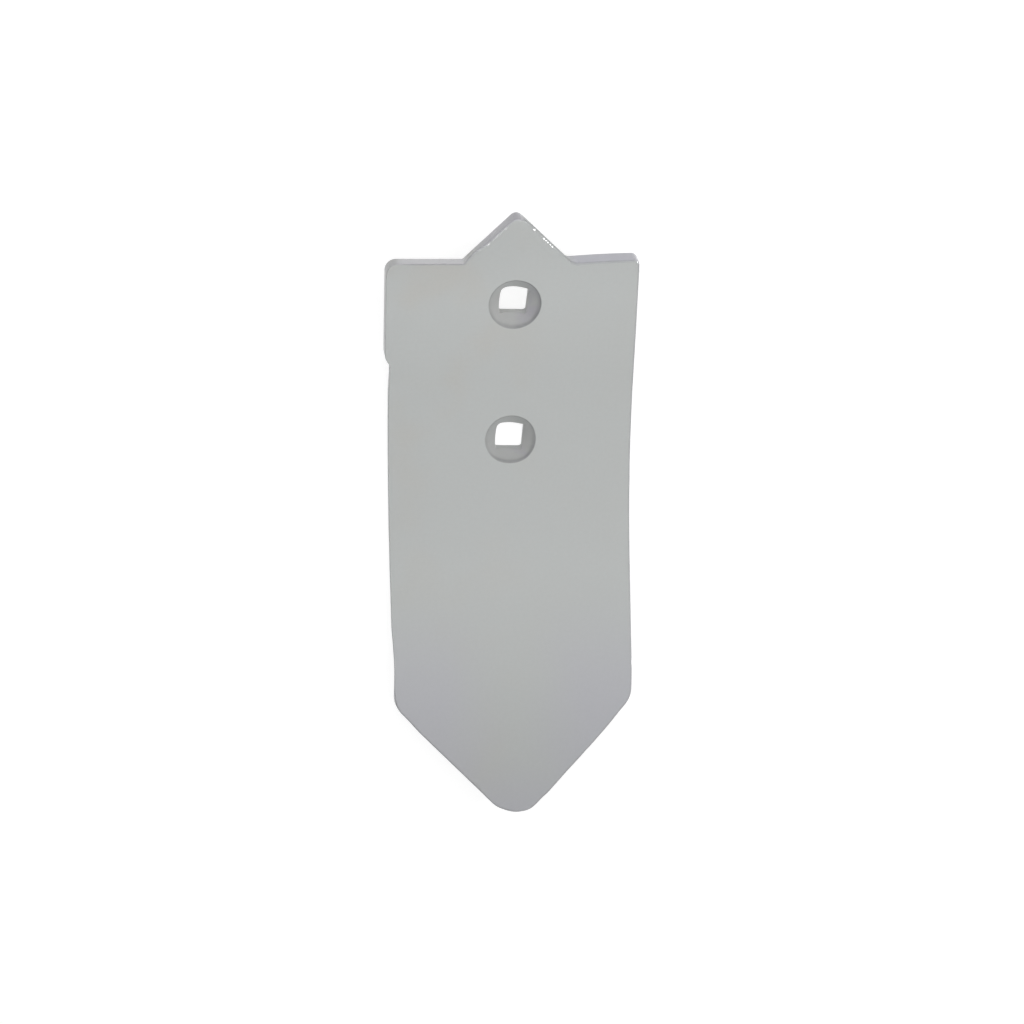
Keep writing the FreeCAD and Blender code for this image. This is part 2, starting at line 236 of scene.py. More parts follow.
# Unevenness of the rolled faces and the sheared sides.
surface = {
    "waveDepth": 0.12,
    "waveLength": 42.0,
    "waveStretch": 0.7,
    "rippleDepth": 0.025,
    "rippleLength": 9.0,
    "backShare": 0.6,
    "sideDepth": 0.09,
    "sideLength": 7.0,
    "sideStretch": 0.3,
    "tremorDepth": 0.03,
    "tremorScale": 0.11,
    # each pit: x, y, radius, depth
    "pits": ((33.0, -16.7, 1.1, 0.10), (44.7, -20.0, 1.0, 0.07), (5.2, -118.8, 1.2, 0.06)),
    "pitReach": 1.1,
    "pitRings": (0.35, 0.7, 1.05),
    "pitSpokes": 8,
}
noiseSlice = {"edge": 3.0, "wave": 1.7, "ripple": 8.3, "back": 21.7}


# 1 at the middle, easing to 0 at reach
def smoothDrop(distance, reach):
    if distance >= reach:
        return 0.0
    return 0.5 + 0.5 * math.cos(math.pi * distance / reach)


# Outline of the blank


def outlineCorners():
    half = blank["halfWidth"]
    wide = half + blank["lugStep"]
    rise = math.tan(math.radians(blank["shoulderSlope"]))
    foot = blank["shoulderHeight"]
    peak = blank["peakHalfWidth"]
    heel = half / math.tan(math.radians(blank["tipAngle"] / 2)) - blank["tipReach"]
    lugTop = blank["lugStep"] * math.tan(math.radians(blank["lugSlope"])) - blank["lugFoot"]
    return [
        ("peak", Vector((0, blank["peakHeight"]))),
        ("leftValley", Vector((-peak, foot))),
        ("leftShoulder", Vector((-wide, foot + rise * (wide - peak)))),
        ("lug", Vector((-wide, lugTop))),
        ("lugRoot", Vector((-half, -blank["lugFoot"]))),
        ("leftHeel", Vector((-half, heel))),
        ("tip", Vector((0, -blank["tipReach"]))),
        ("rightHeel", Vector((half, heel))),
        ("rightShoulder", Vector((half, foot + rise * (half - peak)))),
        ("rightValley", Vector((peak, foot))),
    ]


def turned(vector, angle):
    return Matrix.Rotation(angle, 2) @ vector


# points and outward normals of one rounded corner, on a loop that runs anticlockwise
def cornerArc(before, corner, after, radius):
    inward = (corner - before).normalized()
    outward = (after - corner).normalized()
    turn = math.atan2(inward.cross(outward), inward.dot(outward))
    side = math.copysign(1.0, turn)
    start = corner - inward * radius * math.tan(abs(turn) / 2)
    normal = Vector((inward.y, -inward.x))
    centre = start - normal * radius * side
    count = max(blank["arcSteps"], math.ceil(abs(turn) * radius / blank["arcStep"]))
    normals = [turned(normal, turn * i / count) for i in range(count + 1)]
    return [(centre + n * radius * side, n) for n in normals]


def sampleOutline():
    corners = outlineCorners()
    arcs = []
    for i, (name, corner) in enumerate(corners):
        before, after = corners[i - 1][1], corners[(i + 1) % len(corners)][1]
        arcs.append(cornerArc(before, corner, after, blank["cornerRadius"][name]))
    samples = []
    for i, arc in enumerate(arcs):
        name = corners[i][0]
        nextStart = arcs[(i + 1) % len(arcs)][0][0]
        samples += [(point, normal, name) for point, normal in arc]
        end, normal = arc[-1]
        step = blank["edgeStep"] * (blank["fineShare"] if name in fineStretches else 1.0)
        count = max(1, round((nextStart - end).length / step))
        samples += [(end.lerp(nextStart, k / count), normal, name) for k in range(1, count)]
    return samples


# how far the sheared edge strays outwards
def shiftOfEdge(point):
    shift = spotSum(edgeForms.values(), point)
    scale = surface["tremorScale"]
    tremor = noise.noise(Vector((point.x * scale, point.y * scale, noiseSlice["edge"])))
    return shift - surface["tremorDepth"] * (1 + tremor)


# what all the spots of one kind add at a point of the outline
def spotSum(spots, point):
    return sum(amount * smoothDrop((point - Vector(spot)).length, reach)
               for spot, reach, amount in spots)


# running mean of a closed row of values
def smoothed(values, reach):
    count = len(values)
    near = range(-reach, reach + 1)
    return [sum(values[(i + k) % count] for k in near) / len(near) for i in range(count)]


# Mesh building: every vertex is kept on the flat blank, with four masks for the paint

points = []
masks = []
faces = []


def addPoint(x, y, z, sheared=0.0, seat=0.0, rim=0.0):
    points.append(Vector((x, y, z)))
    masks.append((sheared, seat, rim, 0.0))
    return len(points) - 1


def joinRings(first, second):
    count = len(first)
    for i in range(count):
        j = (i + 1) % count
        faces.append((first[i], first[j], second[j], second[i]))


# rows from the front face round the edge to the back face: inset, depth, sheared, rim
def edgeProfile(front, back, edgeShade):
    thickness = blank["thickness"]
    sideRows, backRows = edgeRows["sideRows"], edgeRows["backRows"]
    rows = [(front + margin, 0.0, 0.0, 0.0) for margin in edgeRows["frontMargins"]]
    for degrees in edgeRows["frontDegrees"]:
        angle = math.radians(degrees)
        inset, depth = front * (1 - math.sin(angle)), front * (1 - math.cos(angle))
        sheared = min(1.0, max(0.0, (degrees - edgeRows["tintFrom"]) / edgeRows["tintSpan"]))
        # painted shade: the rim mask darkens the middle of the front rounding
        rise = min(1.0, (degrees + edgeRows["edgeShadeLead"]) / edgeRows["edgeShadeRise"])
        fall = min(1.0, (90 - degrees) / edgeRows["edgeShadeFall"])
        rows.append((inset, depth, sheared, edgeShade * rise * fall))
    for k in range(1, sideRows):
        rows.append((0.0, front + (thickness - front - back) * k / sideRows, 1.0, 0.0))
    for k in range(backRows):
        angle = math.pi / 2 * k / backRows
        inset, depth = back * (1 - math.cos(angle)), thickness - back * (1 - math.sin(angle))
        # painted shade: the rim mask darkens the back rounding
        rows.append((inset, depth, 1 - k / backRows, math.sin(2 * angle)))
    rows.append((back, thickness, 0.0, 0.0))
    rows.append((back + edgeRows["backMargin"], thickness, 0.0, 0.0))
    return rows


# flattens the edge where it was hammered
def hammerEdge(samples, rings):
    neighbours = range(-hammerReach["neighbours"], hammerReach["neighbours"] + 1)
    fade = hammerReach["fade"]
    for group in hammered.values():
        tilt, turn = math.radians(group["tilt"]), math.radians(group["turn"])
        slant = math.sin(tilt)
        normal = Vector((slant * math.cos(turn), slant * math.sin(turn), math.cos(tilt)))
        for place, cut, reach in group["flats"]:
            distances = [(point - Vector(place)).length for point, _, _ in samples]
            nearest = distances.index(min(distances))
            middle = points[rings[hammerReach["levelRing"]][nearest]] - normal * cut
            for ring in rings[:hammerReach["rings"]]:
                for k in neighbours:
                    i = ring[(nearest + k) % len(ring)]
                    off = points[i] - middle
                    height = off.dot(normal)
                    away = (off - normal * height).length
                    if height > 0 and away < reach * (1 + fade):
                        share = 1.0 if away < reach else smoothDrop(away - reach, reach * fade)
                        points[i] -= normal * height * share
                        masks[i] = (*masks[i][:3], 1.0)


# the rounded edge of the plate, as rings; returns its first and last ring
def buildEdge():
    samples = sampleOutline()
    smoothing = edgeRows["smoothing"]

    def along(column, reach, spots=()):
        values = [frontEdge[name][column] + spotSum(spots, point) for point, _, name in samples]
        return smoothed(values, reach)

    front = along(0, smoothing["radius"], roundedSpots)
    overhang = along(1, smoothing["rest"], overhangSpots)
    tone, edgeShade = along(2, smoothing["rest"]), along(3, smoothing["rest"])
    shifts = smoothed([shiftOfEdge(point) for point, _, _ in samples], smoothing["shift"])
    profiles = [edgeProfile(front[i], backRounding, edgeShade[i]) for i in range(len(samples))]
    rings = []
    for row in range(len(profiles[0])):
        ring = []
        for i, (point, normal, _) in enumerate(samples):
            inset, depth, sheared, rim = profiles[i][row]
            scale = 1 / surface["sideLength"]
            slant = depth * surface["sideStretch"]
            hollow = noise.noise(Vector((point.x * scale, point.y * scale, slant)))
            inset += surface["sideDepth"] * 0.5 * (1 + hollow) * sheared
            lean = overhang[i] * (1 - depth / blank["thickness"])
            place = point + normal * (shifts[i] - inset + lean)
            ring.append(addPoint(place.x, place.y, -depth, sheared=sheared * tone[i], rim=rim))
        rings.append(ring)
    hammerEdge(samples, rings)
    for first, second in zip(rings, rings[1:]):
        joinRings(first, second)
    return rings[0], rings[-1]


# the rounded square of a bolt's neck: points with outward normals
def squareLoop():
    half, radii, steps = holes["squareHalf"], holes["squareRadii"], holes["cornerPoints"]
    turn = -math.radians(holes["squareTurn"])
    corners = [turned(Vector(c) * half, turn) for c in ((1, 1), (-1, 1), (-1, -1), (1, -1))]
    loop = []
    for i, corner in enumerate(corners):
        before, after = corners[i - 1], corners[(i + 1) % 4]
        arc = cornerArc(before, corner, after, radii[i])
        picked = [arc[round(k * (len(arc) - 1) / steps)] for k in range(steps + 1)]
        loop += picked
        inward = (after - corner).normalized()
        start = picked[-1][0]
        end = after - inward * radii[(i + 1) % 4]
        count = holes["sidePoints"]
        loop += [(start.lerp(end, k / count), picked[-1][1]) for k in range(1, count)]
    return loop


# how far a face stands above the flat plane through the hole's middle, because of the bend
def liftOfFace(y, place, depth):
    if place > -bend["start"]:
        return 0.0
    radius = bend["radius"] + depth
    return radius - math.sqrt(radius * radius - y * y)


# a point of a bolt hole's own square frame, taken to the flat blank
def onBlank(x, y, z, place):
    if place > -bend["start"]:
        return x, place + y, z
    radius = bend["radius"]
    angle = math.atan2(y, radius - z)
    return x, place + radius * angle, radius - math.hypot(y, radius - z)


# radius of a seat in one direction; neither seat is quite round
def seatReach(hole, direction):
    right, up, down = max(0.0, direction.x), max(0.0, direction.y), max(0.0, -direction.y)
    reach = holes["seatRadius"] - holes["tighterTop"][hole] * up
    reach += holes["widerBottom"][hole] * down ** 2
    power = holes["flatterPower"]
    return reach - holes["flatter"][hole] * (right ** power + down ** power)


# painted shade of a seat in one direction: dark line at the rim, shade inside it, seat tint, dark
# bottom edge
def seatTones(hole, direction):
    line = paintedSeatShade["line"][hole] * (1 - paintedSeatShade["lineLoss"] * max(0.0, -direction.x))
    towards = direction.dot(Vector(paintedSeatShade["shadeTowards"]))
    shade = paintedSeatShade["shade"] + paintedSeatShade["shadeGain"] * max(0.0, towards)
    shade -= paintedSeatShade["shadeLoss"] * max(0.0, -towards)
    tint = 1.0 - paintedSeatShade["topShadeLoss"] * max(0.0, direction.y)
    towards = direction.dot(Vector(paintedSeatShade["bottomTowards"]))
    bottomEdge = paintedSeatShade["bottomEdge"] + paintedSeatShade["bottomGain"] * max(0.0, towards)
    return line, shade, tint, bottomEdge


# one spoke of a bolt hole, from the front face to the back face: x, y, z, seat, rim
def seatRows(place, direction, squarePoint, squareNormal):
    hole = holes["places"].index(place)
    thickness, rounding = blank["thickness"], holes["rimRounding"]
    slope = math.radians(45)  # of the seat's cone
    line, shade, tint, bottomEdge = seatTones(hole, direction)
    seat = seatReach(hole, direction)
    lift = liftOfFace(holes["seatRadius"] * direction.y, place, 0.0)
    tangent = seat + lift + rounding * math.tan(slope / 2)
    rimRows, coneRows, wallRows = holes["rimRows"], holes["coneRows"], holes["wallRows"]
    rows = []

    def addRow(flat, z, seatMask, rim):
        rows.append((flat.x, flat.y, z, seatMask, rim))

    outer = direction * (tangent + holes["rimMargin"])
    addRow(outer, liftOfFace(outer.y, place, 0.0), 0.0, 0.0)
    for k in range(rimRows + 1):
        angle = slope * k / rimRows
        radius = tangent - rounding * math.sin(angle)
        z = lift - rounding * (1 - math.cos(angle))
        addRow(direction * radius, z, k / rimRows, line * math.sin(2 * angle))

    squareRadius = squarePoint.length
    soft = holes["bottomRounding"]
    coneTop = tangent - rounding * math.sin(slope)
    coneEnd = squareRadius + soft * math.tan(slope / 2) * math.cos(slope)
    # painted shade just inside the rim and in the lower half of the seat
    rims = {1: shade, 2: paintedSeatShade["secondRow"] * shade}
    lowest = paintedSeatShade["lowerHalf"] * max(0.0, -direction.y)
    for k in range(1, coneRows + 1):
        radius = coneTop + (coneEnd - coneTop) * k / coneRows
        addRow(direction * radius, radius - seat, tint, max(rims.get(k, 0.0), lowest))

    wallTop = squareRadius - seat - soft * math.tan(slope / 2)
    bulge = holes["bottomBulge"]
    z = (coneEnd - seat + wallTop) / 2 + bulge
    # a painted shade line where the seat meets the square
    addRow(direction * (squareRadius + bulge), z, 1.0, bottomEdge)

    wallEnd = liftOfFace(squarePoint.y, place, thickness) - thickness + holes["backRounding"]
    middleShare, rightShare = holes["leanShares"]
    across = middleShare + rightShare * squarePoint.x / holes["squareHalf"]
    lean = Vector((0.0, holes["wallLean"] * max(0.0, -squareNormal.y) * across))
    for k in range(wallRows + 1):
        flat = squarePoint + lean * k / wallRows
        z = wallTop + (wallEnd - wallTop) * k / wallRows
        # a painted shade line along the back edge of the wall
        rim = paintedSeatShade["backEdge"] if k == wallRows else 0.0
        addRow(flat, z, paintedSeatShade["wallTint"], rim)
    for k in range(1, holes["backRows"] + 1):
        angle = math.radians(90 / holes["backRows"]) * k
        spread = holes["backRounding"] * (1 - math.cos(angle))
        drop = holes["backRounding"] * math.sin(angle)
        addRow(squarePoint + lean + squareNormal * spread, wallEnd - drop, 0.0, 0.0)
    flat = squarePoint + lean + squareNormal * (holes["backRounding"] + holes["backMargin"])
    addRow(flat, liftOfFace(flat.y, place, thickness) - thickness, 0.0, 0.0)
    return rows


# one countersunk bolt hole; returns its ring on the front face and on the back face
def buildHole(place):
    loop = squareLoop()
    spokes = [seatRows(place, point.normalized(), point, normal) for point, normal in loop]
    rings = []
    for row in range(len(spokes[0])):
        ring = []
        for spoke in spokes:
            x, y, z, seatMask, rim = spoke[row]
            ring.append(addPoint(*onBlank(x, y, z, place), seat=seatMask, rim=rim))
        rings.append(ring)
    for first, second in zip(rings, rings[1:]):
        joinRings(first, second)
    return rings[0], rings[-1]


# staggered points inside a closed ring, away from the clearings (x, y, radius)
def gridPoints(outer, clearings):
    step, margin = blank["gridStep"], blank["gridMargin"]
    loop = [points[i].to_2d() for i in outer]
    low = min(point.y for point in loop)
    high = max(point.y for point in loop)
    found = []
    rows = int((high - low) / (step * blank["gridRow"]))
    for row in range(1, rows + 1):
        y = low + row * step * blank["gridRow"]
        crossings = []
        for a, b in zip(loop, loop[1:] + loop[:1]):
            if (a.y > y) != (b.y > y):
                crossings.append(a.x + (b.x - a.x) * (y - a.y) / (b.y - a.y))
        crossings.sort()
        for left, right in zip(crossings[::2], crossings[1::2]):
            x = math.ceil(left / step) * step + (step / 2 if row % 2 else 0.0)
            while x < right - margin:
                spot = Vector((x, y))
                clear = all((spot - Vector((cx, cy))).length > r for cx, cy, r in clearings)
                if x > left + margin and clear:
                    found.append(spot)
                x += step
    return found


# closer points where a pit is
def pitPoints():
    found = []
    for x, y, radius, _ in surface["pits"]:
        found.append(Vector((x, y)))
        for ring in surface["pitRings"]:
            reach = radius * ring
            for k in range(surface["pitSpokes"]):
                angle = math.tau * (k + ring) / surface["pitSpokes"]
                found.append(Vector((x + reach * math.cos(angle), y + reach * math.sin(angle))))
    return found


# a face between its outer ring and the rings of the bolt holes
def fillFace(outer, inner, z, clearings, extra=()):
    rings = [outer] + list(inner)
    ids = [i for ring in rings for i in ring]
    flat = [points[i].to_2d() for i in ids]
    edges = []
    start = 0
    for ring in rings:
        count = len(ring)
        edges += [(start + k, start + (k + 1) % count) for k in range(count)]
        start += count
    clearing = blank["pitClearing"]
    spots = [spot for spot in gridPoints(outer, clearings)
             if all((spot - other).length > clearing for other in extra)]
    for spot in spots + list(extra):
        ids.append(addPoint(spot.x, spot.y, z))
        flat.append(spot)
    result = delaunay_2d_cdt(flat, edges, [], 1, blank["mergeGap"])
    origin = [ids[found[0]] for found in result[3]]
    owners = [set(ring) for ring in inner]
    for face in result[2]:
        corners = [origin[i] for i in face]
        if not any(all(corner in owner for corner in corners) for owner in owners):
            faces.append(tuple(corners))


# how far the front face lies below the true one
def dent(x, y):
    scale = 1 / surface["waveLength"]
    stretched = y * scale * surface["waveStretch"]
    wave = 0.5 + 0.5 * noise.noise(Vector((x * scale, stretched, noiseSlice["wave"])))
    scale = 1 / surface["rippleLength"]
    ripple = 0.5 + 0.5 * noise.noise(Vector((x * scale, y * scale, noiseSlice["ripple"])))
    depth = surface["waveDepth"] * wave + surface["rippleDepth"] * ripple
    for px, py, radius, pitDepth in surface["pits"]:
        reach = radius * surface["pitReach"]
        depth += pitDepth * smoothDrop(math.hypot(x - px, y - py), reach)
    return depth


def dentBack(x, y):
    scale = 1 / surface["waveLength"]
    wave = 0.5 + 0.5 * noise.noise(Vector((x * scale, y * scale, noiseSlice["back"])))
    return surface["backShare"] * surface["waveDepth"] * wave


# a point of the flat blank on the bent plate, in the frame of the upper bolt hole
def bendPoint(x, y, z):
    start, radius = bend["start"], bend["radius"]
    if y > -start:
        return Vector((x, y, z))
    run = -start - y
    angle = min(run / radius, math.radians(bend["angle"]))
    rest = run - radius * angle
    along = -start - (radius - z) * math.sin(angle) - rest * math.cos(angle)
    up = radius - (radius - z) * math.cos(angle) + rest * math.sin(angle)
    return Vector((x, along, up))


# where the upper bolt hole is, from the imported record
def plateFrame():
    seat = next(m for m in frame["record"]["mounts"] if m["name"] == "upper_bolt_seat")
    tilt = math.atan2(-seat["axis"][1], seat["axis"][2])
    return Matrix.Translation(seat["pos_m"]) @ Matrix.Rotation(tilt, 4, "X")


def buildShare():
    front, back = buildEdge()
    rims = [buildHole(place) for place in holes["places"]]
    frontHoles = [(0.0, place, holes["frontClearing"]) for place in holes["places"]]
    backHoles = [(0.0, place, holes["backClearing"]) for place in holes["places"]]
    fillFace(front, [rim[0] for rim in rims], 0.0, frontHoles, pitPoints())
    fillFace(back, [rim[1] for rim in rims], -blank["thickness"], backHoles)
    print("share drawn on its blank:", len(points), "points,", len(faces), "faces")

    lay = plateFrame()
    placed = []
    for point in points:
        share = min(1.0, max(0.0, -point.z / blank["thickness"]))
        z = point.z - dent(point.x, point.y) * (1 - share) + dentBack(point.x, point.y) * share
        placed.append(lay @ (bendPoint(point.x, point.y, z) * millimetre))
    mesh = bpy.data.meshes.new("shareBody")
    mesh.from_pydata([tuple(p) for p in placed], [], faces)
    for column, name in enumerate(("sheared", "seat", "rim", "hammered")):
        layer = mesh.attributes.new(name, "FLOAT", "POINT")
        layer.data.foreach_set("value", [row[column] for row in masks])
    layer = mesh.attributes.new("blankPlace", "FLOAT_VECTOR", "POINT")
    layer.data.foreach_set("vector", [c * millimetre for point in points for c in point])
    work = bmesh.new()
    work.from_mesh(mesh)
    bmesh.ops.recalc_face_normals(work, faces=work.faces)
    for face in work.faces:
        face.smooth = True
    loose = [v for v in work.verts if not v.link_faces]
    bmesh.ops.delete(work, geom=loose, context="VERTS")
    work.to_mesh(mesh)
    work.free()
    share = bpy.data.objects.new("shareBody", mesh)
    scene.collection.objects.link(share)
    return share


# The photograph's camera, set out from the upper bolt hole: degrees and metres.
photoView = {
    "yaw": 8.86,
    "pitch": 29.56,
    "roll": -2.17,
    "distance": 1.209,
    "across": 0.001334,
    "up": 0.089819,
    "lens": 98.26,
    "clipEnd": 20.0,
}


def buildCamera():
    yaw, pitch, roll = (Matrix.Rotation(math.radians(photoView[name]), 3, axis)
                        for name, axis in (("yaw", "Y"), ("pitch", "X"), ("roll", "Z")))
    turn = (roll @ pitch @ yaw).transposed()
    place = turn @ Vector((-photoView["across"], -photoView["up"], photoView["distance"]))
    data = bpy.data.cameras.new("photoCamera")
    data.lens = photoView["lens"]
    data.clip_end = photoView["clipEnd"]
    camera = bpy.data.objects.new("photoCamera", data)
    scene.collection.objects.link(camera)
    camera.matrix_world = plateFrame() @ Matrix.Translation(place) @ turn.to_4x4()
    scene.camera = camera
    print("camera set")


# short calls for adding and joining the nodes of a material or a world
def freshNodes(owner):
    owner.use_nodes = True
    nodes, links = owner.node_tree.nodes, owner.node_tree.links
    nodes.clear()

    def put(socket, value):
        if isinstance(value, bpy.types.NodeSocket):
            links.new(value, socket)
        else:
            socket.default_value = value

    def add(kind, inputs, **settings):
        node = nodes.new(kind)
        for name, value in settings.items():
            setattr(node, name, value)
        for name, value in inputs.items():
            put(node.inputs[name], value)
        return node

    def maths(operation, *values):
        return add("ShaderNodeMath", dict(enumerate(values)), operation=operation).outputs[0]

    def span(value, low, high, first=0.0, last=1.0, smooth=True):
        given = {"Value": value, "From Min": low, "From Max": high, "To Min": first, "To Max": last}
        kind = "SMOOTHSTEP" if smooth else "LINEAR"
        return add("ShaderNodeMapRange", given, interpolation_type=kind).outputs["Result"]

    return add, maths, span


paint = {
    "colour": (0.462, 0.478, 0.472),
    "warm": (0.462, 0.464, 0.446),
    "cool": (0.455, 0.458, 0.488),
    # the sheared sides: a purplish tint, paler on the end faces as painted light, darker on the
    # peak's flanks and foot as painted shade, with a painted highlight on the peak's outer rim
    "shearedLitTint": (0.505, 0.50, 0.545),
    "peakShadeTint": (0.45, 0.44, 0.485),
    "peakFootShadeTint": (0.425, 0.43, 0.42),
    "peakRimHighlight": (0.64, 0.63, 0.68),
    "leftEndLitTint": (0.575, 0.568, 0.605),
    "rightEndLitTint": (0.525, 0.525, 0.59),
    # painted shade on the rounded edges and round the seat rims
    "edgeShadeTint": (0.33, 0.335, 0.345),
    # painted shade in the bolt seats: the line at the rim, the seat, and its streaks on the right
    "seatShadeLine": (0.215, 0.22, 0.22),
    "seatShadeTint": (0.435, 0.44, 0.435),
    "seatShadeStreak": (0.41, 0.40, 0.435),
    "shadeTowardsTip": 0.90,  # painted shade darkens the paint towards the tip; it is also a little darker at the top
    "towardsTop": 0.93,
    "towardsTopLeft": 0.895,
    "warmAtRight": 0.15,
    "warmBelow": 0.45,
    "coolShare": 0.85,
    "coolUnevenness": 0.02,
    "sideShare": 0.9,
    "seatShare": 0.9,
    "edgeShadeShares": (0.55, 0.95),
    "lineShares": (0.65, 1.0),
    "speckleShares": (0.985, 1.012),
    "roughness": 0.4,
    "roughnessSpread": 0.05,
    "hammeredRoughness": 0.2,
    "specular": 0.5,
    "edgeCoat": 0.8,  # the paint lies thicker and glossier on the sheared sides
    "peakCoats": (0.25, 0.75),  # but less so at the foot of the peak and on the rest of it
    "coatRoughness": 0.18,
    "grainStrength": 0.10,
    "grainDepth": 0.00006,
    "rollStrength": 0.16,
    "rollDepth": 0.0004,
}

# Where one tone gives way to the next, in metres on the blank.
paintPlaces = {
    # across, from the left
    "leftSide": (0.022, -0.02),
    "topSides": (-0.04, 0.02),
    "endSides": (-0.01, 0.01),
    "seatRight": (-0.003, 0.007),
    # from the middle outwards
    "flanks": (0.012, 0.045),
    "shoulders": (0.020, 0.0235),
    # along, from the upper bolt hole
    "upperHalf": (-0.13, -0.03),
    "heels": (-0.13, -0.19),
    "tip": (-0.205, -0.24),
    "tipEnd": (-0.15, -0.24),
    "topEnd": (0.0, 0.034),
    "topEdges": (0.010, 0.016),
    "peakFoot": (0.022, 0.030),
    # over the mask of the sheared sides
    "peakRim": (0.72, 0.9),
    "coatEdge": (0.2, 0.34),
}

# Soft noise in the paint: size in millimetres, detail, roughness, offset.
paintNoise = {
    "warm": (38, 2.0, 0.5, 0.0),
    "cool": (30, 1.0, 0.5, 0.9),
    "edgeShadeClouds": (9, 2.0, 0.5, 0.7),
    "streaks": (8, 2.0, 0.5, 0.5),
    "line": (7, 2.0, 0.5, 0.8),
    "speckle": (1.6, 3.0, 0.7, 0.2),
    "uneven": (12, 3.0, 0.6, 0.6),
    "grain": (1.1, 2.0, 0.6, 0.0),
}

# What counts as the low and the high of a noise, where only a part of its range is used.
noiseEnds = {
    "warm": (0.45, 0.66),
    "edgeShadeClouds": (0.3, 0.7),
    "streaks": (0.42, 0.6),
    "line": (0.3, 0.7),
    "speckle": (0.3, 0.7),
    "uneven": (0.3, 0.7),
}


